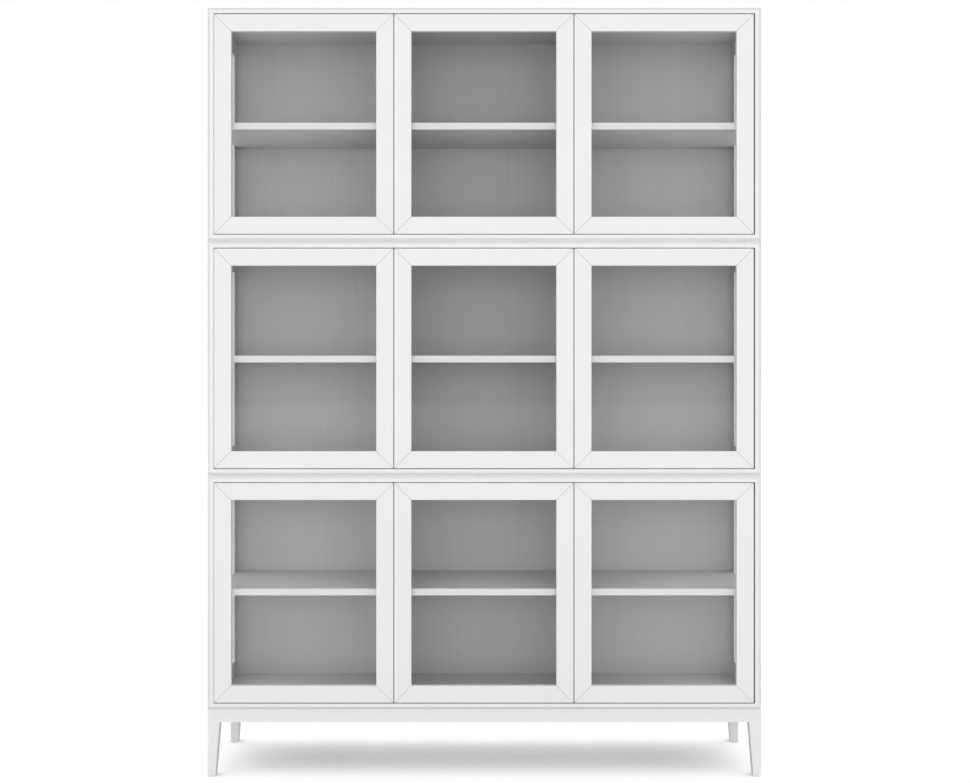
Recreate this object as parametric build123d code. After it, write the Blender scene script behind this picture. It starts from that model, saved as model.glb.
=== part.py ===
"""Stacking glazed bookcase: three cases, each three doors wide, on a four-legged base.

Millimetres, +Z up.  The origin is the middle of the footprint on the floor.  The doors
face -Y and the back stands towards a wall at +Y.
"""
from build123d import *
import os

# Overall size
WIDTH = 1528.0
DEPTH = 420.0
CASE_HEIGHT = 645.3
BASE_HEIGHT = 186.0
CASE_NAMES = ("lower", "middle", "upper")
BAY_NAMES = ("left", "centre", "right")

# Case panels
PANEL = 18.0
SIDE_PANEL = 19.0
FRONT_CHAMFER = 8.0
FRONT_CHAMFER_DEPTH = 14.0
BACK_THICKNESS = 6.0
BACK_INSET = 16.0
REBATE = 8.0
PARTITION_SETBACK = 26.0
SHELF_SETBACK = 27.0
SHELF_THICKNESS = 18.5
SHELF_CENTRE_HEIGHT = 321.0
SHELF_CLEARANCE = 1.0

# Glazed side frames
SIDE_FRONT_STILE = 52.0
SIDE_REAR_STILE = 77.0
SIDE_RAIL = 46.0

# Glass and the groove that holds it
GLASS_THICKNESS = 4.0
GROOVE_DEPTH = 8.0
GLASS_BITE = 7.0

# Doors
DOOR_THICKNESS = 20.0
DOOR_GAPS = (0.75, 2.1, 2.2, 3.4)
DOOR_END_GAP = 2.0
DOOR_MEMBER = 47.2
DOOR_GLASS_SETBACK = 8.0
DOOR_ARRIS = 1.0
MITRE_SLIT_WIDTH = 0.7
MITRE_SLIT_DEPTH = 5.0
DOOR_WIDTH = (WIDTH - 2 * SIDE_PANEL - sum(DOOR_GAPS)) / 3
HINGE_SIDES = ("left", "left", "right")

# Pivot hinges: a pin in the case turns in a bush in the door
PIVOT_FROM_EDGE = 14.0
PIVOT_FROM_FRONT = 4.5
PIN_RADIUS = 2.0
PIN_FIT = 0.05
PIN_REACH = 7.5
PIN_ROOT_RADIUS = 3.0
PIN_ROOT_DEPTH = 9.0
PIN_COLLAR_RADIUS = 4.0
PIN_COLLAR_HEIGHT = 1.7
BUSH_RADIUS = 3.0
BUSH_LENGTH = 9.0

# Push latches under each case top, behind the free end of each door's top rail
LATCH_FROM_EDGE = 70.0
LATCH_DROP = 30.0
LATCH_WIDTH = 16.0
LATCH_HEIGHT = 22.0
LATCH_LENGTH = 60.0
LATCH_SETBACK = 27.0
LATCH_BORE_DEPTH = 50.0
PLUNGER_RADIUS = 3.0
PLUNGER_FIT = 0.05
PLUNGER_STEM = 36.0
PLUNGER_TIP_RADIUS = 4.5
PLUNGER_TIP_LENGTH = 3.0
PLUNGER_GAP = 0.3
STRIKE_SIZE = 15.0
STRIKE_THICKNESS = 1.0

# Shelf pins and stacking dowels
SHELF_PIN_RADIUS = 2.5
SHELF_PIN_BITE = 7.0
SHELF_PIN_REACH = 8.0
SHELF_PIN_FROM_FRONT = 38.0
SHELF_PIN_FROM_BACK = 54.0
HOLE_FIT = 0.05
DOWEL_RADIUS = 4.0
DOWEL_BITE = 10.0
DOWEL_INSET = 53.0
REAR_LEG_DOWEL_INSET = 27.5

# Base
BASE_SETBACK = FRONT_CHAMFER_DEPTH
LEG_WIDTH = 33.0
LEG_DEPTH = 34.0
LEG_FOOT_WIDTH = 21.0
APRON_HEIGHT = 36.4
APRON_THICKNESS = 20.0
GLIDE_RADIUS = 8.0
GLIDE_THICKNESS = 4.0
GLIDE_PROUD = 1.0
CORNER_BLOCK_REACH = 48.0
CORNER_BLOCK_HEIGHT = 30.0

# Planes that many pieces share
HALF_WIDTH = WIDTH / 2
FRONT = -DEPTH / 2
BACK = DEPTH / 2
DOOR_BACK = FRONT + DOOR_THICKNESS
BACK_PANEL_FRONT = BACK - BACK_INSET - BACK_THICKNESS
INNER_SIDE = HALF_WIDTH - SIDE_PANEL
BASE_FRONT = FRONT + BASE_SETBACK
APRON_BOTTOM = BASE_HEIGHT - APRON_HEIGHT
SIDE_WINDOW_FRONT = FRONT + SIDE_FRONT_STILE
SIDE_WINDOW_BACK = BACK - SIDE_REAR_STILE
SHELF_FRONT = FRONT + SHELF_SETBACK
SHELF_BACK = BACK_PANEL_FRONT - SHELF_CLEARANCE

UP = (0, 0, 1)
DOWN = (0, 0, -1)


def block(x_span, y_span, z_span):
    """A box from its low and high X, Y and Z."""
    spans = (x_span, y_span, z_span)
    size = [high - low for low, high in spans]
    centre = [(high + low) / 2 for low, high in spans]
    return Pos(*centre) * Box(*size)


def rod(start, direction, radius, length):
    """A round rod from a start point along a direction."""
    place = Plane(origin=start, z_dir=direction)
    return place * Cylinder(radius, length, align=(Align.CENTER, Align.CENTER, Align.MIN))


def prism(points, y_span):
    """A solid with an outline in the XZ plane, between two values of Y."""
    outline = make_face(Polyline(*[(x, y_span[0], z) for x, z in points], close=True))
    return extrude(outline, amount=y_span[1] - y_span[0], dir=(0, 1, 0))


def door_span(bay):
    """Low and high X of the door of one bay."""
    low = -INNER_SIDE + sum(DOOR_GAPS[: bay + 1]) + bay * DOOR_WIDTH
    return low, low + DOOR_WIDTH


def partition_centre(number):
    """X of a partition, behind the gap between two doors."""
    return (door_span(number)[1] + door_span(number + 1)[0]) / 2


def bay_span(bay):
    """Low and high X of the clear space of one bay."""
    low = -INNER_SIDE if bay == 0 else partition_centre(bay - 1) + PANEL / 2
    high = INNER_SIDE if bay == 2 else partition_centre(bay) - PANEL / 2
    return low, high


def case_span(case):
    """Low and high Z of one case."""
    low = BASE_HEIGHT + case * CASE_HEIGHT
    return low, low + CASE_HEIGHT


def door_z_span(case):
    """Low and high Z of the doors of one case."""
    low, high = case_span(case)
    return low + PANEL + DOOR_END_GAP, high - PANEL - DOOR_END_GAP


def pivot_x(bay):
    """X of a door's hinge axis."""
    low, high = door_span(bay)
    return low + PIVOT_FROM_EDGE if HINGE_SIDES[bay] == "left" else high - PIVOT_FROM_EDGE


def latch_x(bay):
    """X of a door's push latch, near the door's free edge."""
    low, high = door_span(bay)
    return high - LATCH_FROM_EDGE if HINGE_SIDES[bay] == "left" else low + LATCH_FROM_EDGE


def shelf_z(case):
    """Low Z of the shelves of one case."""
    return case_span(case)[0] + SHELF_CENTRE_HEIGHT - SHELF_THICKNESS / 2


def dowel_places(case):
    """Where dowels join the bottom of a case to what it stands on."""
    inset = LEG_WIDTH / 2
    xs = (-HALF_WIDTH + inset, HALF_WIDTH - inset)
    if case == 0:
        ys = (BASE_FRONT + LEG_DEPTH / 2, BACK - REAR_LEG_DOWEL_INSET)
    else:
        ys = (FRONT + DOWEL_INSET, BACK - DOWEL_INSET)
    return [(x, y) for x in xs for y in ys]


def shelf_pin_places(case):
    """Start points and directions of the pins under the shelves of one case."""
    z = shelf_z(case) - SHELF_PIN_RADIUS
    places = []
    for bay in range(3):
        for x, inward in zip(bay_span(bay), (1, -1)):
            for y in (FRONT + SHELF_PIN_FROM_FRONT, BACK - SHELF_PIN_FROM_BACK):
                places.append(((x - inward * SHELF_PIN_BITE, y, z), (inward, 0, 0)))
    return places


def case_envelope(case):
    """The outside of one case, with its chamfer all round the front."""
    body = block((-HALF_WIDTH, HALF_WIDTH), (FRONT, BACK), case_span(case))
    front = body.faces().sort_by(Axis.Y)[0]
    return chamfer(front.edges(), FRONT_CHAMFER, FRONT_CHAMFER_DEPTH, reference=front)


def back_rebate(case):
    """The step behind a case's panels that takes the back."""
    low, high = case_span(case)
    half = HALF_WIDTH - REBATE
    return block((-half, half), (BACK_PANEL_FRONT, BACK + 1), (low + REBATE, high - REBATE))


def pivot_pin(x, panel_face, direction):
    """A hinge pin that stands out of a case panel into a door."""
    start = (x, FRONT + PIVOT_FROM_FRONT, panel_face)
    reach = DOOR_END_GAP + PIN_REACH
    root_start = (start[0], start[1], panel_face - direction[2] * PIN_ROOT_DEPTH)
    pin = rod(root_start, direction, PIN_ROOT_RADIUS, PIN_ROOT_DEPTH)
    pin += rod(start, direction, PIN_COLLAR_RADIUS, PIN_COLLAR_HEIGHT)
    pin += rod(start, direction, PIN_RADIUS, reach)
    return pin


def pivot_holes(panel_face, direction):
    """The holes in a case panel that hold the roots of its three pins."""
    holes = []
    for bay in range(3):
        start = (pivot_x(bay), FRONT + PIVOT_FROM_FRONT, panel_face)
        holes.append(rod(start, direction, PIN_ROOT_RADIUS, PIN_ROOT_DEPTH))
    return holes


def dowel_holes(places, panel_face, direction):
    """The holes for dowels in a horizontal face."""
    return [rod((x, y, panel_face), direction, DOWEL_RADIUS, DOWEL_BITE) for x, y in places]


def case_panel(case, z_span):
    """A full-width horizontal panel of a case, shaped by the case's envelope."""
    panel = block((-HALF_WIDTH, HALF_WIDTH), (FRONT, BACK), z_span)
    return (panel & case_envelope(case)) - back_rebate(case)


def case_top(case):
    """The top panel of a case."""
    high = case_span(case)[1]
    panel = case_panel(case, (high - PANEL, high))
    panel -= pivot_holes(high - PANEL, UP)
    if case < 2:
        panel -= dowel_holes(dowel_places(case + 1), high, DOWN)
    return panel


def case_bottom(case):
    """The bottom panel of a case."""
    low = case_span(case)[0]
    panel = case_panel(case, (low, low + PANEL))
    panel -= pivot_holes(low + PANEL, DOWN)
    panel -= dowel_holes(dowel_places(case), low, UP)
    return panel


def side_frames(case):
    """The stiles and rails of both glazed sides of a case."""
    low, high = case_span(case)
    z_span = (low + PANEL, high - PANEL)
    envelope = case_envelope(case)
    pin_holes = [
        rod(start, direction, SHELF_PIN_RADIUS + HOLE_FIT, SHELF_PIN_BITE + 1)
        for start, direction in shelf_pin_places(case)
    ]
    groove_y = (SIDE_WINDOW_FRONT - GROOVE_DEPTH, SIDE_WINDOW_BACK + GROOVE_DEPTH)
    groove_z = (z_span[0] + SIDE_RAIL - GROOVE_DEPTH, z_span[1] - SIDE_RAIL + GROOVE_DEPTH)
    rail_y = (SIDE_WINDOW_FRONT, SIDE_WINDOW_BACK)
    members = (
        ((FRONT, SIDE_WINDOW_FRONT), z_span),
        ((SIDE_WINDOW_BACK, BACK), z_span),
        (rail_y, (z_span[0], z_span[0] + SIDE_RAIL)),
        (rail_y, (z_span[1] - SIDE_RAIL, z_span[1])),
    )
    solids = []
    for side in (-1, 1):
        x_span = sorted((side * INNER_SIDE, side * HALF_WIDTH))
        middle = sum(x_span) / 2
        groove_x = (middle - GLASS_THICKNESS / 2, middle + GLASS_THICKNESS / 2)
        groove = block(groove_x, groove_y, groove_z)
        for y_span, member_z in members:
            member = block(x_span, y_span, member_z) & envelope
            solids.append(member - groove - back_rebate(case) - pin_holes)
    return solids


def side_panes():
    """The six panes of glass in the sides of the cases."""
    panes = []
    for case in range(3):
        low, high = case_span(case)
        y_span = (SIDE_WINDOW_FRONT - GLASS_BITE, SIDE_WINDOW_BACK + GLASS_BITE)
        rail = PANEL + SIDE_RAIL - GLASS_BITE
        for side in (-1, 1):
            middle = side * (HALF_WIDTH - SIDE_PANEL / 2)
            x_span = (middle - GLASS_THICKNESS / 2, middle + GLASS_THICKNESS / 2)
            panes.append(block(x_span, y_span, (low + rail, high - rail)))
    return panes


def back_panel(case):
    """The thin back of a case, in its rebate."""
    low, high = case_span(case)
    half = HALF_WIDTH - REBATE
    y_span = (BACK_PANEL_FRONT, BACK_PANEL_FRONT + BACK_THICKNESS)
    return block((-half, half), y_span, (low + REBATE, high - REBATE))


def partitions(case):
    """The two upright partitions of a case."""
    low, high = case_span(case)
    holes = [
        rod(start, direction, SHELF_PIN_RADIUS + HOLE_FIT, SHELF_PIN_BITE + 1)
        for start, direction in shelf_pin_places(case)
    ]
    solids = []
    for number in range(2):
        middle = partition_centre(number)
        x_span = (middle - PANEL / 2, middle + PANEL / 2)
        y_span = (FRONT + PARTITION_SETBACK, BACK_PANEL_FRONT)
        solids.append(block(x_span, y_span, (low + PANEL, high - PANEL)) - holes)
    return solids


def shelves(case):
    """The three loose shelves of a case."""
    low = shelf_z(case)
    solids = []
    for bay in range(3):
        left, right = bay_span(bay)
        x_span = (left + SHELF_CLEARANCE, right - SHELF_CLEARANCE)
        solids.append(block(x_span, (SHELF_FRONT, SHELF_BACK), (low, low + SHELF_THICKNESS)))
    return solids


def shelf_pins(case):
    """The pins that the shelves of a case rest on."""
    length = SHELF_PIN_BITE + SHELF_PIN_REACH
    return [
        rod(start, direction, SHELF_PIN_RADIUS, length)
        for start, direction in shelf_pin_places(case)
    ]


def pivot_pins(case):
    """The lower and upper hinge pins of a case's doors."""
    low, high = case_span(case)
    pins = []
    for bay in range(3):
        pins.append(pivot_pin(pivot_x(bay), low + PANEL, UP))
        pins.append(pivot_pin(pivot_x(bay), high - PANEL, DOWN))
    return pins


def latch_axis(case, bay):
    """X and Z of a latch's plunger."""
    return latch_x(bay), case_span(case)[1] - LATCH_DROP


def latch_housing(case, bay):
    """A latch's housing, with a blind bore for its plunger."""
    x, z = latch_axis(case, bay)
    underside = case_span(case)[1] - PANEL
    front = FRONT + LATCH_SETBACK
    housing = block(
        (x - LATCH_WIDTH / 2, x + LATCH_WIDTH / 2),
        (front, front + LATCH_LENGTH),
        (underside - LATCH_HEIGHT, underside),
    )
    bore = rod((x, front, z), (0, 1, 0), PLUNGER_RADIUS + PLUNGER_FIT, LATCH_BORE_DEPTH)
    return housing - bore


def latch_plunger(case, bay):
    """A latch's sprung plunger, whose tip faces the strike on the door."""
    x, z = latch_axis(case, bay)
    start = (x, DOOR_BACK + PLUNGER_GAP, z)
    tip = rod(start, (0, 1, 0), PLUNGER_TIP_RADIUS, PLUNGER_TIP_LENGTH)
    stem = rod(start, (0, 1, 0), PLUNGER_RADIUS, PLUNGER_TIP_LENGTH + PLUNGER_STEM)
    return tip + stem


def strike(case, bay):
    """The steel plate let into the back of a door, opposite its latch."""
    x, z = latch_axis(case, bay)
    half = STRIKE_SIZE / 2
    return block(
        (x - half, x + half),
        (DOOR_BACK - STRIKE_THICKNESS, DOOR_BACK),
        (z - half, z + half),
    )


def door_bushes(case, bay, radius):
    """The rods at both ends of a door that its hinge bushes fill."""
    low, high = door_z_span(case)
    x = pivot_x(bay)
    y = FRONT + PIVOT_FROM_FRONT
    return [
        rod((x, y, low), UP, radius, BUSH_LENGTH),
        rod((x, y, high), DOWN, radius, BUSH_LENGTH),
    ]


def mitre_wedges(x_span, z_span):
    """Four prisms that cut a door's frame into mitred stiles and rails."""
    half = (x_span[1] - x_span[0]) / 2
    left, right = x_span
    low, high = z_span
    depth = (FRONT - 1, DOOR_BACK + 1)
    left_tip = (left + half, low + half)
    right_tip = (left + half, high - half)
    return [
        prism([(left, low), left_tip, right_tip, (left, high)], depth),
        prism([(right, low), (right, high), right_tip, left_tip], depth),
        prism([(left, low), (right, low), left_tip], depth),
        prism([(left, high), right_tip, (right, high)], depth),
    ]


def mitre_slits(x_span, z_span):
    """The fine open joints along the mitres in a door's front."""
    bars = []
    run = DOOR_MEMBER * 2 ** 0.5
    for x, x_way in zip(x_span, (1, -1)):
        for z, z_way in zip(z_span, (1, -1)):
            along = (x_way, 0, z_way)
            place = Plane(origin=(x, FRONT, z), z_dir=along, x_dir=(0, 1, 0))
            base = (Align.CENTER, Align.CENTER, Align.MIN)
            bars.append(place * Box(2 * MITRE_SLIT_DEPTH, MITRE_SLIT_WIDTH, run, align=base))
    return bars


def door_frame(case, bay):
    """The two stiles and two rails of a door."""
    x_span = door_span(bay)
    z_span = door_z_span(case)
    inner_x = (x_span[0] + DOOR_MEMBER, x_span[1] - DOOR_MEMBER)
    inner_z = (z_span[0] + DOOR_MEMBER, z_span[1] - DOOR_MEMBER)
    groove_x = (inner_x[0] - GROOVE_DEPTH, inner_x[1] + GROOVE_DEPTH)
    groove_z = (inner_z[0] - GROOVE_DEPTH, inner_z[1] + GROOVE_DEPTH)
    groove_front = FRONT + DOOR_GLASS_SETBACK
    ring = block(x_span, (FRONT, DOOR_BACK), z_span)
    ring -= block(inner_x, (FRONT - 1, DOOR_BACK + 1), inner_z)
    for face_y in (FRONT, DOOR_BACK):
        rim = ring.edges().filter_by(lambda edge: abs(edge.center().Y - face_y) < 0.01)
        ring = chamfer(rim, DOOR_ARRIS)
    ring -= block(groove_x, (groove_front, groove_front + GLASS_THICKNESS), groove_z)
    ring -= mitre_slits(x_span, z_span)
    ring -= door_bushes(case, bay, BUSH_RADIUS)
    ring -= strike(case, bay)
    return [ring & wedge for wedge in mitre_wedges(x_span, z_span)]


def door_glass(case, bay):
    """The pane of a door."""
    x_span = door_span(bay)
    z_span = door_z_span(case)
    edge = DOOR_MEMBER - GLASS_BITE
    front = FRONT + DOOR_GLASS_SETBACK
    return block(
        (x_span[0] + edge, x_span[1] - edge),
        (front, front + GLASS_THICKNESS),
        (z_span[0] + edge, z_span[1] - edge),
    )


def door_fittings(case, bay):
    """A door's hinge bushes and its latch strike."""
    holes = door_bushes(case, bay, PIN_RADIUS + PIN_FIT)
    bushes = [bush - hole for bush, hole in zip(door_bushes(case, bay, BUSH_RADIUS), holes)]
    return bushes + [strike(case, bay)]


def leg(side, back):
    """A leg, tapered on its inner face below the apron."""
    outer = side * HALF_WIDTH
    inner = side * (HALF_WIDTH - LEG_WIDTH)
    foot = side * (HALF_WIDTH - LEG_FOOT_WIDTH)
    outline = [
        (outer, GLIDE_PROUD),
        (outer, BASE_HEIGHT),
        (inner, BASE_HEIGHT),
        (inner, APRON_BOTTOM),
        (foot, GLIDE_PROUD),
    ]
    y_span = (BACK - LEG_DEPTH, BACK) if back else (BASE_FRONT, BASE_FRONT + LEG_DEPTH)
    return prism(outline, y_span) - glide(side, back) - dowel_holes(dowel_places(0), BASE_HEIGHT, DOWN)


def glide(side, back):
    """The plastic disc let into the foot of a leg."""
    x = side * (HALF_WIDTH - LEG_FOOT_WIDTH / 2)
    y = BACK - LEG_DEPTH / 2 if back else BASE_FRONT + LEG_DEPTH / 2
    return rod((x, y, 0), UP, GLIDE_RADIUS, GLIDE_THICKNESS)


def cross_apron(back):
    """The long rail between two legs."""
    half = HALF_WIDTH - LEG_WIDTH
    y_span = (BACK - APRON_THICKNESS, BACK) if back else (BASE_FRONT, BASE_FRONT + APRON_THICKNESS)
    return block((-half, half), y_span, (APRON_BOTTOM, BASE_HEIGHT))


def side_apron(side):
    """The short rail between a front and a rear leg."""
    x_span = sorted((side * HALF_WIDTH, side * (HALF_WIDTH - APRON_THICKNESS)))
    return block(x_span, (BASE_FRONT + LEG_DEPTH, BACK - LEG_DEPTH), (APRON_BOTTOM, BASE_HEIGHT))


def corner_block(side, back):
    """A block glued and screwed into a corner of the base, round the leg's inner corner."""
    edge, inward = (BACK, -1) if back else (BASE_FRONT, 1)
    x_apron = side * (HALF_WIDTH - APRON_THICKNESS)
    y_apron = edge + inward * APRON_THICKNESS
    x_leg = side * (HALF_WIDTH - LEG_WIDTH)
    y_leg = edge + inward * LEG_DEPTH
    corners = [
        (x_leg, y_apron),
        (x_leg - side * CORNER_BLOCK_REACH, y_apron),
        (x_apron, y_leg + inward * CORNER_BLOCK_REACH),
        (x_apron, y_leg),
        (x_leg, y_leg),
    ]
    base = BASE_HEIGHT - CORNER_BLOCK_HEIGHT
    outline = make_face(Polyline(*[(x, y, base) for x, y in corners], close=True))
    return extrude(outline, amount=CORNER_BLOCK_HEIGHT, dir=UP)


def stacking_dowels():
    """The dowels between the base and the three cases."""
    dowels = []
    for case in range(3):
        low = case_span(case)[0]
        for x, y in dowel_places(case):
            dowels.append(rod((x, y, low - DOWEL_BITE), UP, DOWEL_RADIUS, 2 * DOWEL_BITE))
    return dowels


def each_case(make):
    """What a function makes for every case, in one list."""
    return [solid for case in range(3) for solid in make(case)]


def build_nodes():
    """Every sub-part of the bookcase, by name."""
    sides = (-1, 1)
    nodes = {
        "front_legs": [leg(side, False) for side in sides],
        "rear_legs": [leg(side, True) for side in sides],
        "leg_glides": [glide(side, back) for side in sides for back in (False, True)],
        "front_apron": [cross_apron(False)],
        "rear_apron": [cross_apron(True)],
        "side_aprons": [side_apron(side) for side in sides],
        "corner_blocks": [corner_block(side, back) for side in sides for back in (False, True)],
        "stacking_dowels": stacking_dowels(),
        "back_panels": [back_panel(case) for case in range(3)],
        "partitions": each_case(partitions),
        "shelves": each_case(shelves),
        "shelf_pins": each_case(shelf_pins),
        "side_panes": side_panes(),
        "hinge_pins": each_case(pivot_pins),
        "latch_housings": [latch_housing(case, bay) for case in range(3) for bay in range(3)],
    }
    for case, case_name in enumerate(CASE_NAMES):
        nodes[f"{case_name}_case_top"] = [case_top(case)]
        nodes[f"{case_name}_case_bottom"] = [case_bottom(case)]
        nodes[f"{case_name}_side_frames"] = side_frames(case)
        for bay, bay_name in enumerate(BAY_NAMES):
            door = f"{case_name}_{bay_name}"
            nodes[f"{door}_door_frame"] = door_frame(case, bay)
            nodes[f"{door}_door_glass"] = [door_glass(case, bay)]
            nodes[f"{door}_door_fittings"] = door_fittings(case, bay)
            nodes[f"{door}_latch_plunger"] = [latch_plunger(case, bay)]
    return nodes


def main():
    """Write each sub-part to its own STEP file."""
    os.makedirs("parts", exist_ok=True)
    for name, shapes in build_nodes().items():
        solids = [solid for shape in shapes for solid in shape.solids()]
        part = solids[0] if len(solids) == 1 else Compound(children=solids)
        export_step(part, f"parts/{name}.step")


main()
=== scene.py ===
"""The looks of the stacking glazed bookcase: materials, floor, light and camera."""
import math

import bpy
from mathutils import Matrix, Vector


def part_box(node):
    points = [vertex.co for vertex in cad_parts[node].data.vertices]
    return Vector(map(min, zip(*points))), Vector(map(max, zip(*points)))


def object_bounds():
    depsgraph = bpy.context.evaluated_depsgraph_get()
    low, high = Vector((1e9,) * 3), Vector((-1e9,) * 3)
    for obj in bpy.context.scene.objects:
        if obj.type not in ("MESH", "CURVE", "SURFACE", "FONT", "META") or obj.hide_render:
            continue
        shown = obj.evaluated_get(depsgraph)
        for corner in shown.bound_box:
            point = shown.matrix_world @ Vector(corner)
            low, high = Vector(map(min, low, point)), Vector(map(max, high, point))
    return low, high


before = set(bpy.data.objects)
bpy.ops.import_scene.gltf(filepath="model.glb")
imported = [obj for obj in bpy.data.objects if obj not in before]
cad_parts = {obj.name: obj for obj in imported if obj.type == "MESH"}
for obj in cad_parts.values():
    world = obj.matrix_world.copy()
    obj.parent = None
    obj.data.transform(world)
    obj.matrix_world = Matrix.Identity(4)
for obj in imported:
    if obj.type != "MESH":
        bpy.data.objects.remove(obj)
cad_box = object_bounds()

CASES = ("lower", "middle", "upper")
BAYS = ("left", "centre", "right")

# Camera. The shifts are shares of the picture's width.
SENSOR = 36.0
CAMERA_DISTANCE = 4.075
CAMERA_LENS = 54.96
CAMERA_HEIGHT = 1.1360
HORIZON_SHIFT = -0.0274
CENTRE_SHIFT = 0.00067

# Widths of the glazed sides' stiles, and 0.1 mm over, so that a face at a stile's edge counts as the stile's
SIDE_FRONT_STILE = 0.0521
SIDE_REAR_STILE = 0.0771

# Glass: a pane's two faces mirror nearly twice what one face does
PANE_REFLECTION = 1.85
PANE_TINT = (0.991, 0.992, 0.9915, 1.0)
GLASS_IOR = 1.5

# Painted shade and light in corners inside the cases: how far corners reach, and what they multiply the paint
# by (below one, painted shade) and the back's paint by (above one, painted light)
CORNER_REACH = 0.3
CORNER_PAINTED_SHADE = 0.42
BACK_CORNER_PAINTED_LIGHT = 1.5
CORNER_SAMPLES = 8

# Share of a face's normal along an axis, above which the face counts as facing that way
FACING = 0.5

# Darkest and lightest tone of each paint, and the share of clouds in its pattern (the rest is grain)
PAINT_TONES = (0.79, 0.83)
# The paint inside the cases is the same white paint in lighter tones, as painted light
INSIDE_PAINT_LIGHTENED_TONES = (0.86, 0.90)
# The back's tones are darker than the white paint: painted shade at the back of the cases
BACK_TONES_WITH_PAINTED_SHADE = (0.40, 0.46)
PAINT_CLOUDS = 0.6

# Grain: scales along it and across it
PAINT_GRAIN = (2.0, 90.0)
BACK_GRAIN = (1.2, 60.0)
SAWN_GRAIN = (4.0, 60.0)
STEEL_GRAIN = (20.0, 900.0)

# Light
SKY_SEEN = 1.0
SKY_MIRRORED = 0.44
SKY_HORIZON = 1.33
SKY_ZENITH = 0.58
FRONT_POWER = 87.0
FRONT_HEIGHT = 1.25
FRONT_WIDTH = 5.0
FRONT_TALLNESS = 2.4
FRONT_PLACE = (0, -6.0, FRONT_HEIGHT)
FRONT_AIM = (0, 0, 1.0)

# Floor: its half width, the tones seen and given back near the middle and far off, and its glow to the
# camera, which is lower where the bookcase stands close over it: a painted shadow under the bookcase
FLOOR_REACH = 40.0
FLOOR_NEAR = 0.5
FLOOR_FAR = 3.0
FLOOR_TONE_SEEN = 0.3
FLOOR_TONE_NEAR = 0.7
FLOOR_TONE_FAR = 0.9
FLOOR_GLOW_IN_PAINTED_SHADOW = 0.115
FLOOR_GLOW_OPEN = 0.80
FLOOR_OPEN_SHARE = 0.6
FLOOR_PAINTED_SHADOW_REACH = 0.4
FLOOR_PAINTED_SHADOW_SAMPLES = 16


class Nodes:
    """A material's or a world's node tree, with short ways to add and join nodes."""

    def __init__(self, owner):
        owner.use_nodes = True
        self.tree = owner.node_tree
        self.tree.nodes.clear()

    def add(self, kind, **settings):
        node = self.tree.nodes.new(kind)
        for name, value in settings.items():
            setattr(node, name, value)
        return node

    def link(self, source, target):
        self.tree.links.new(source, target)

    def noise(self, vector, scale, detail=3.0, roughness=0.5):
        node = self.add("ShaderNodeTexNoise")
        node.inputs["Scale"].default_value = scale
        node.inputs["Detail"].default_value = detail
        node.inputs["Roughness"].default_value = roughness
        self.link(vector, node.inputs["Vector"])
        return node.outputs["Fac"]

    def stretched(self, scale=(1, 1, 1)):
        """Object coordinates, scaled along each axis."""
        coordinates = self.add("ShaderNodeTexCoord")
        mapping = self.add("ShaderNodeMapping")
        mapping.inputs["Scale"].default_value = scale
        self.link(coordinates.outputs["Object"], mapping.inputs["Vector"])
        return mapping.outputs["Vector"]

    def ramp(self, value, low, high):
        """A colour from low to high as value goes from 0 to 1."""
        ramp = self.add("ShaderNodeValToRGB")
        ramp.color_ramp.elements[0].color = (*low, 1.0)
        ramp.color_ramp.elements[1].color = (*high, 1.0)
        self.link(value, ramp.inputs["Fac"])
        return ramp.outputs["Color"]

    def grey_ramp(self, value, low, high):
        """A grey from low to high as value goes from 0 to 1."""
        return self.ramp(value, (low,) * 3, (high,) * 3)

    def span(self, value, low, high, from_low=0.0, from_high=1.0):
        """A number mapped from one span to another."""
        node = self.add("ShaderNodeMapRange")
        node.inputs["From Min"].default_value = from_low
        node.inputs["From Max"].default_value = from_high
        node.inputs["To Min"].default_value = low
        node.inputs["To Max"].default_value = high
        self.link(value, node.inputs["Value"])
        return node.outputs["Result"]

    def bump(self, height, strength, distance, normal=None):
        node = self.add("ShaderNodeBump")
        node.inputs["Strength"].default_value = strength
        node.inputs["Distance"].default_value = distance
        self.link(height, node.inputs["Height"])
        if normal is not None:
            self.link(normal, node.inputs["Normal"])
        return node.outputs["Normal"]

    def painted_light_and_shade_in_corners(self, colour, corner_tone):
        """A colour times a tone where other surfaces stand close, as in the corners of a case: painted shade
        where the tone is below one, and painted light where it is above one.
        """
        open_share = self.add("ShaderNodeAmbientOcclusion", samples=CORNER_SAMPLES)
        open_share.inputs["Distance"].default_value = CORNER_REACH
        toned = self.add("ShaderNodeVectorMath", operation="MULTIPLY")
        self.link(colour, toned.inputs[0])
        self.link(self.span(open_share.outputs["AO"], corner_tone, 1.0), toned.inputs[1])
        return toned.outputs["Vector"]

    def finish_surface(self, shader):
        output = self.add("ShaderNodeOutputMaterial")
        self.link(shader, output.inputs["Surface"])


def along(axis, grain):
    """Scales that draw a pattern out along one axis, the way of the grain."""
    length_scale, cross_scale = grain
    scale = [cross_scale] * 3
    scale["XYZ".index(axis)] = length_scale
    return scale


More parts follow.
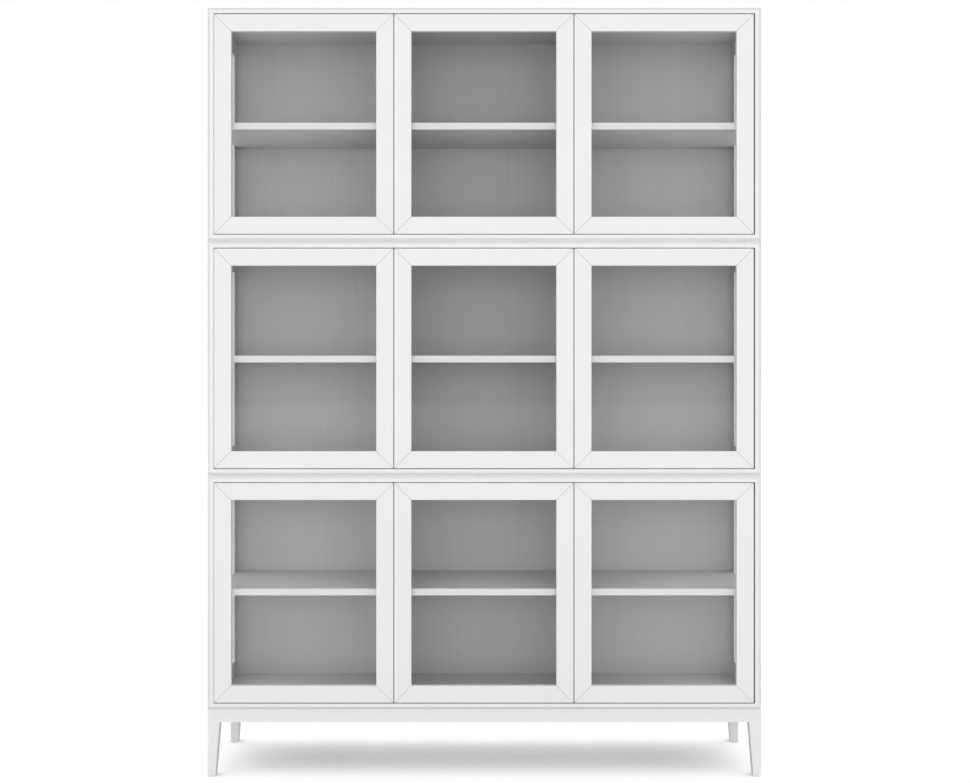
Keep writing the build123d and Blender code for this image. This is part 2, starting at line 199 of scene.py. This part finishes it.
def painted_wood(axis, inside=False):
    """Satin white paint over fine wood whose grain runs along one axis. Inside the cases it gets lighter
    tones as painted light, and painted shade in its corners.
    """
    name = "inner_white_paint_lit_and_shaded" if inside else "white_paint"
    material = bpy.data.materials.new(f"{name}_grain_{axis.lower()}")
    nodes = Nodes(material)
    grain = nodes.noise(nodes.stretched(along(axis, PAINT_GRAIN)), scale=3.0, detail=6.0, roughness=0.6)
    cloud = nodes.noise(nodes.stretched(), scale=7.0)
    peel = nodes.noise(nodes.stretched(), scale=700.0, detail=2.0)
    tone = nodes.add("ShaderNodeMix", data_type="FLOAT")
    tone.inputs["Factor"].default_value = PAINT_CLOUDS
    nodes.link(grain, tone.inputs["A"])
    nodes.link(cloud, tone.inputs["B"])
    # Painted light: inside the cases the paint takes lighter tones
    colour = nodes.grey_ramp(tone.outputs["Result"], *(INSIDE_PAINT_LIGHTENED_TONES if inside else PAINT_TONES))
    # Painted shade: inside the cases the paint is darkened where other surfaces stand close
    if inside:
        colour = nodes.painted_light_and_shade_in_corners(colour, CORNER_PAINTED_SHADE)
    shader = nodes.add("ShaderNodeBsdfPrincipled")
    nodes.link(colour, shader.inputs["Base Color"])
    nodes.link(nodes.span(cloud, low=0.34, high=0.48), shader.inputs["Roughness"])
    normal = nodes.bump(grain, strength=0.10, distance=0.0006)
    normal = nodes.bump(peel, strength=0.05, distance=0.0002, normal=normal)
    nodes.link(normal, shader.inputs["Normal"])
    shader.inputs["Specular IOR Level"].default_value = 0.4
    nodes.finish_surface(shader.outputs["BSDF"])
    return material


def back_paint():
    """The back, in a grey darker than the white paint as painted shade, with a faint upright grain and
    corners made lighter as painted light.
    """
    material = bpy.data.materials.new("back_panel_paint")
    nodes = Nodes(material)
    grain = nodes.noise(nodes.stretched(along("Z", BACK_GRAIN)), scale=2.0, detail=6.0, roughness=0.65)
    shader = nodes.add("ShaderNodeBsdfPrincipled")
    # Painted shade: the back is a grey darker than the white paint
    colour = nodes.grey_ramp(grain, *BACK_TONES_WITH_PAINTED_SHADE)
    # Painted light: the back's corners are made lighter where other surfaces stand close
    nodes.link(nodes.painted_light_and_shade_in_corners(colour, BACK_CORNER_PAINTED_LIGHT), shader.inputs["Base Color"])
    nodes.link(nodes.span(grain, low=0.5, high=0.65), shader.inputs["Roughness"])
    nodes.link(nodes.bump(grain, strength=0.15, distance=0.0006), shader.inputs["Normal"])
    nodes.finish_surface(shader.outputs["BSDF"])
    return material


def bare_wood():
    """Pale sawn hardwood."""
    material = bpy.data.materials.new("bare_wood")
    nodes = Nodes(material)
    grain = nodes.noise(nodes.stretched(along("Z", SAWN_GRAIN)), scale=4.0, detail=8.0, roughness=0.7)
    shader = nodes.add("ShaderNodeBsdfPrincipled")
    colour = nodes.ramp(grain, low=(0.42, 0.29, 0.17), high=(0.70, 0.55, 0.37))
    nodes.link(colour, shader.inputs["Base Color"])
    nodes.link(nodes.span(grain, low=0.55, high=0.75), shader.inputs["Roughness"])
    nodes.link(nodes.bump(grain, strength=0.3, distance=0.0005), shader.inputs["Normal"])
    nodes.finish_surface(shader.outputs["BSDF"])
    return material


def clear_glass():
    """Clear float glass in thin panes: the face that light meets mirrors by angle, for both faces at once,
    and the rest passes straight through.
    """
    material = bpy.data.materials.new("clear_glass")
    nodes = Nodes(material)
    smudge = nodes.noise(nodes.stretched(), scale=9.0, detail=4.0)
    fresnel = nodes.add("ShaderNodeFresnel")
    fresnel.inputs["IOR"].default_value = GLASS_IOR
    both_faces = nodes.add("ShaderNodeMath", operation="MULTIPLY")
    both_faces.inputs[1].default_value = PANE_REFLECTION
    nodes.link(fresnel.outputs["Fac"], both_faces.inputs[0])
    geometry = nodes.add("ShaderNodeNewGeometry")
    outside = nodes.add("ShaderNodeMath", operation="SUBTRACT")
    outside.inputs[0].default_value = 1.0
    nodes.link(geometry.outputs["Backfacing"], outside.inputs[1])
    share = nodes.add("ShaderNodeMath", operation="MULTIPLY", use_clamp=True)
    nodes.link(both_faces.outputs["Value"], share.inputs[0])
    nodes.link(outside.outputs["Value"], share.inputs[1])
    through = nodes.add("ShaderNodeBsdfTransparent")
    through.inputs["Color"].default_value = PANE_TINT
    mirror = nodes.add("ShaderNodeBsdfGlossy")
    mirror.inputs["Color"].default_value = (1, 1, 1, 1)
    nodes.link(nodes.span(smudge, low=0.01, high=0.05), mirror.inputs["Roughness"])
    mix = nodes.add("ShaderNodeMixShader")
    nodes.link(share.outputs["Value"], mix.inputs["Fac"])
    nodes.link(through.outputs["BSDF"], mix.inputs[1])
    nodes.link(mirror.outputs["BSDF"], mix.inputs[2])
    nodes.finish_surface(mix.outputs["Shader"])
    return material


def plated_steel():
    """Satin zinc-plated steel."""
    material = bpy.data.materials.new("plated_steel")
    nodes = Nodes(material)
    brushed = nodes.noise(nodes.stretched(along("X", STEEL_GRAIN)), scale=2.0, detail=4.0)
    shader = nodes.add("ShaderNodeBsdfPrincipled")
    shader.inputs["Metallic"].default_value = 1.0
    colour = nodes.ramp(brushed, low=(0.50, 0.51, 0.52), high=(0.68, 0.69, 0.70))
    nodes.link(colour, shader.inputs["Base Color"])
    nodes.link(nodes.span(brushed, low=0.25, high=0.42), shader.inputs["Roughness"])
    nodes.link(nodes.bump(brushed, strength=0.15, distance=0.0001), shader.inputs["Normal"])
    nodes.finish_surface(shader.outputs["BSDF"])
    return material


def moulded_plastic(name, low, high):
    """Fine-textured moulded plastic, of a grey between low and high."""
    material = bpy.data.materials.new(name)
    nodes = Nodes(material)
    spark = nodes.noise(nodes.stretched(), scale=1500.0, detail=2.0)
    cloud = nodes.noise(nodes.stretched(), scale=60.0)
    shader = nodes.add("ShaderNodeBsdfPrincipled")
    nodes.link(nodes.grey_ramp(cloud, low, high), shader.inputs["Base Color"])
    nodes.link(nodes.span(spark, low=0.42, high=0.6), shader.inputs["Roughness"])
    nodes.link(nodes.bump(spark, strength=0.25, distance=0.0001), shader.inputs["Normal"])
    nodes.finish_surface(shader.outputs["BSDF"])
    return material


PAINT = {axis: painted_wood(axis) for axis in "XYZ"}
INSIDE_PAINT_LIT_AND_SHADED = {axis: painted_wood(axis, inside=True) for axis in "XYZ"}
BACK_PAINT = back_paint()
BARE_WOOD = bare_wood()
GLASS = clear_glass()
STEEL = plated_steel()
LATCH_PLASTIC = moulded_plastic("latch_plastic", low=0.60, high=0.66)
GLIDE_PLASTIC = moulded_plastic("glide_plastic", low=0.05, high=0.08)


def give(node, *materials):
    """Puts materials in a CAD node's slots."""
    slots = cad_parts[node].data.materials
    slots.clear()
    for material in materials:
        slots.append(material)


def give_glass(node):
    """Clear glass. It casts no shadow, so that the painted shade and light in the corners of the paint takes
    it for open.
    """
    give(node, GLASS)
    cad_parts[node].visible_shadow = False


def paint_door(node):
    """Grain along the stiles and along the rails, which meet at the mitres."""
    give(node, PAINT["Z"], PAINT["X"])
    low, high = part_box(node)
    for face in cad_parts[node].data.polygons:
        side_gap = min(face.center.x - low.x, high.x - face.center.x)
        end_gap = min(face.center.z - low.z, high.z - face.center.z)
        face.material_index = int(end_gap < side_gap)


def paint_side_frames(node):
    """Grain along the upright stiles and along the rails between them, inside and out. The inside faces get
    the inside paint, lightened as painted light and with painted shade in corners.
    """
    give(node, PAINT["Z"], PAINT["Y"], INSIDE_PAINT_LIT_AND_SHADED["Z"], INSIDE_PAINT_LIT_AND_SHADED["Y"])
    low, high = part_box(node)
    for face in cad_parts[node].data.polygons:
        on_rail = low.y + SIDE_FRONT_STILE < face.center.y < high.y - SIDE_REAR_STILE
        faces_in = face.normal.x * face.center.x < -FACING * abs(face.center.x)
        face.material_index = int(on_rail) + 2 * int(faces_in)


def paint_case_panel(node, inner_side):
    """Grain along X, with the inside paint, lightened as painted light and with painted shade in corners, on
    the face that looks into the case.
    inner_side is 1 where that face is the panel's top, and -1 where it is its underside.
    """
    give(node, PAINT["X"], INSIDE_PAINT_LIT_AND_SHADED["X"])
    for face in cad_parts[node].data.polygons:
        face.material_index = int(face.normal.z * inner_side > FACING)


def paint_shelves():
    """Inside paint, lightened as painted light and with painted shade in corners, on the tops and undersides,
    and outer paint on the edges.
    """
    give("shelves", PAINT["X"], INSIDE_PAINT_LIT_AND_SHADED["X"])
    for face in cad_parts["shelves"].data.polygons:
        face.material_index = int(abs(face.normal.z) > FACING)


def dress():
    """Gives every CAD node its materials."""
    for case in CASES:
        paint_case_panel(f"{case}_case_top", -1)
        paint_case_panel(f"{case}_case_bottom", 1)
        paint_side_frames(f"{case}_side_frames")
        for bay in BAYS:
            door = f"{case}_{bay}"
            paint_door(f"{door}_door_frame")
            give_glass(f"{door}_door_glass")
            give(f"{door}_door_fittings", STEEL)
            give(f"{door}_latch_plunger", LATCH_PLASTIC)
    for node in ("front_apron", "rear_apron"):
        give(node, PAINT["X"])
    for node in ("front_legs", "rear_legs"):
        give(node, PAINT["Z"])
    paint_shelves()
    give("partitions", INSIDE_PAINT_LIT_AND_SHADED["Z"])
    give("side_aprons", PAINT["Y"])
    give_glass("side_panes")
    give("back_panels", BACK_PAINT)
    give("corner_blocks", BARE_WOOD)
    give("stacking_dowels", BARE_WOOD)
    give("shelf_pins", STEEL)
    give("hinge_pins", STEEL)
    give("latch_housings", LATCH_PLASTIC)
    give("leg_glides", GLIDE_PLASTIC)


dress()


def make_floor():
    """A wide white floor that glows to the camera, with a painted shadow where the bookcase covers it, where
    the glow is lower. It gives little light back near the middle.
    """
    mesh = bpy.data.meshes.new("floor")
    reach = FLOOR_REACH
    corners = [(-reach, -reach, 0), (reach, -reach, 0), (reach, reach, 0), (-reach, reach, 0)]
    mesh.from_pydata(corners, [], [(0, 1, 2, 3)])
    floor = bpy.data.objects.new("floor", mesh)
    bpy.context.scene.collection.objects.link(floor)
    material = bpy.data.materials.new("floor")
    nodes = Nodes(material)
    place = nodes.stretched()
    distance = nodes.add("ShaderNodeVectorMath", operation="LENGTH")
    nodes.link(place, distance.inputs[0])
    returned = nodes.span(
        distance.outputs["Value"], FLOOR_TONE_NEAR, FLOOR_TONE_FAR, from_low=FLOOR_NEAR, from_high=FLOOR_FAR
    )
    seen = nodes.add("ShaderNodeLightPath").outputs["Is Camera Ray"]
    tone = nodes.add("ShaderNodeMix", data_type="FLOAT")
    tone.inputs["B"].default_value = FLOOR_TONE_SEEN
    nodes.link(seen, tone.inputs["Factor"])
    nodes.link(returned, tone.inputs["A"])
    colour = nodes.add("ShaderNodeVectorMath", operation="MULTIPLY")
    nodes.link(nodes.grey_ramp(nodes.noise(place, scale=3.0), low=0.98, high=1.0), colour.inputs[0])
    nodes.link(tone.outputs["Result"], colour.inputs[1])
    shader = nodes.add("ShaderNodeBsdfPrincipled")
    nodes.link(colour.outputs["Vector"], shader.inputs["Base Color"])
    shader.inputs["Roughness"].default_value = 0.9
    shader.inputs["Specular IOR Level"].default_value = 0.1
    shader.inputs["Emission Color"].default_value = (1, 1, 1, 1)
    # Painted shadow: the glow seen by the camera drops where the bookcase stands close over the floor
    cover = nodes.add("ShaderNodeAmbientOcclusion", samples=FLOOR_PAINTED_SHADOW_SAMPLES)
    cover.inputs["Distance"].default_value = FLOOR_PAINTED_SHADOW_REACH
    glow = nodes.add("ShaderNodeMath", operation="MULTIPLY")
    openness = cover.outputs["AO"]
    strength = nodes.span(openness, FLOOR_GLOW_IN_PAINTED_SHADOW, FLOOR_GLOW_OPEN, from_high=FLOOR_OPEN_SHARE)
    nodes.link(strength, glow.inputs[0])
    nodes.link(seen, glow.inputs[1])
    nodes.link(glow.outputs["Value"], shader.inputs["Emission Strength"])
    nodes.finish_surface(shader.outputs["BSDF"])
    mesh.materials.append(material)
    return floor


def make_world():
    """Soft light from all round. What is seen of it is plain white."""
    world = bpy.data.worlds.new("studio")
    bpy.context.scene.world = world
    nodes = Nodes(world)
    direction = nodes.add("ShaderNodeTexCoord")
    axes = nodes.add("ShaderNodeSeparateXYZ")
    nodes.link(direction.outputs["Generated"], axes.inputs["Vector"])
    sky = nodes.span(axes.outputs["Z"], SKY_HORIZON, SKY_ZENITH)
    path = nodes.add("ShaderNodeLightPath")
    mirrored = nodes.add("ShaderNodeMix", data_type="FLOAT")
    mirrored.inputs["B"].default_value = SKY_MIRRORED
    nodes.link(path.outputs["Is Glossy Ray"], mirrored.inputs["Factor"])
    nodes.link(sky, mirrored.inputs["A"])
    seen = nodes.add("ShaderNodeMix", data_type="FLOAT")
    seen.inputs["B"].default_value = SKY_SEEN
    nodes.link(path.outputs["Is Camera Ray"], seen.inputs["Factor"])
    nodes.link(mirrored.outputs["Result"], seen.inputs["A"])
    background = nodes.add("ShaderNodeBackground")
    background.inputs["Color"].default_value = (1, 1, 1, 1)
    nodes.link(seen.outputs["Result"], background.inputs["Strength"])
    output = nodes.add("ShaderNodeOutputWorld")
    nodes.link(background.outputs["Background"], output.inputs["Surface"])


def add_area_light(name, place, aim, size, power, unlit):
    """A soft lamp at a place, aimed at a point, which leaves one object unlit."""
    data = bpy.data.lights.new(name, "AREA")
    data.shape = "RECTANGLE"
    data.size, data.size_y = size
    data.energy = power
    lamp = bpy.data.objects.new(name, data)
    lamp.location = place
    lamp.rotation_mode = "QUATERNION"
    lamp.rotation_quaternion = (Vector(aim) - Vector(place)).to_track_quat("-Z", "Y")
    lamp.visible_glossy = False
    lamp.visible_camera = False
    bpy.context.scene.collection.objects.link(lamp)
    receivers = bpy.data.collections.new(f"{name}_receivers")
    receivers.objects.link(unlit)
    receivers.collection_objects[0].light_linking.link_state = "EXCLUDE"
    lamp.light_linking.receiver_collection = receivers


def make_camera():
    """A level camera in front of the doors."""
    data = bpy.data.cameras.new("camera")
    data.lens = CAMERA_LENS
    data.sensor_width = SENSOR
    data.shift_x = CENTRE_SHIFT
    data.shift_y = HORIZON_SHIFT
    camera = bpy.data.objects.new("camera", data)
    camera.location = (0, cad_box[0].y - CAMERA_DISTANCE, CAMERA_HEIGHT)
    camera.rotation_euler = (math.radians(90), 0, 0)
    bpy.context.scene.collection.objects.link(camera)
    bpy.context.scene.camera = camera


floor = make_floor()
make_world()
front_size = (FRONT_WIDTH, FRONT_TALLNESS)
add_area_light("front_light", FRONT_PLACE, FRONT_AIM, front_size, FRONT_POWER, unlit=floor)
make_camera()

scene = bpy.context.scene
scene.view_settings.view_transform = "Standard"
scene.cycles.transparent_max_bounces = 24
scene.cycles.max_bounces = 12
scene.cycles.diffuse_bounces = 6
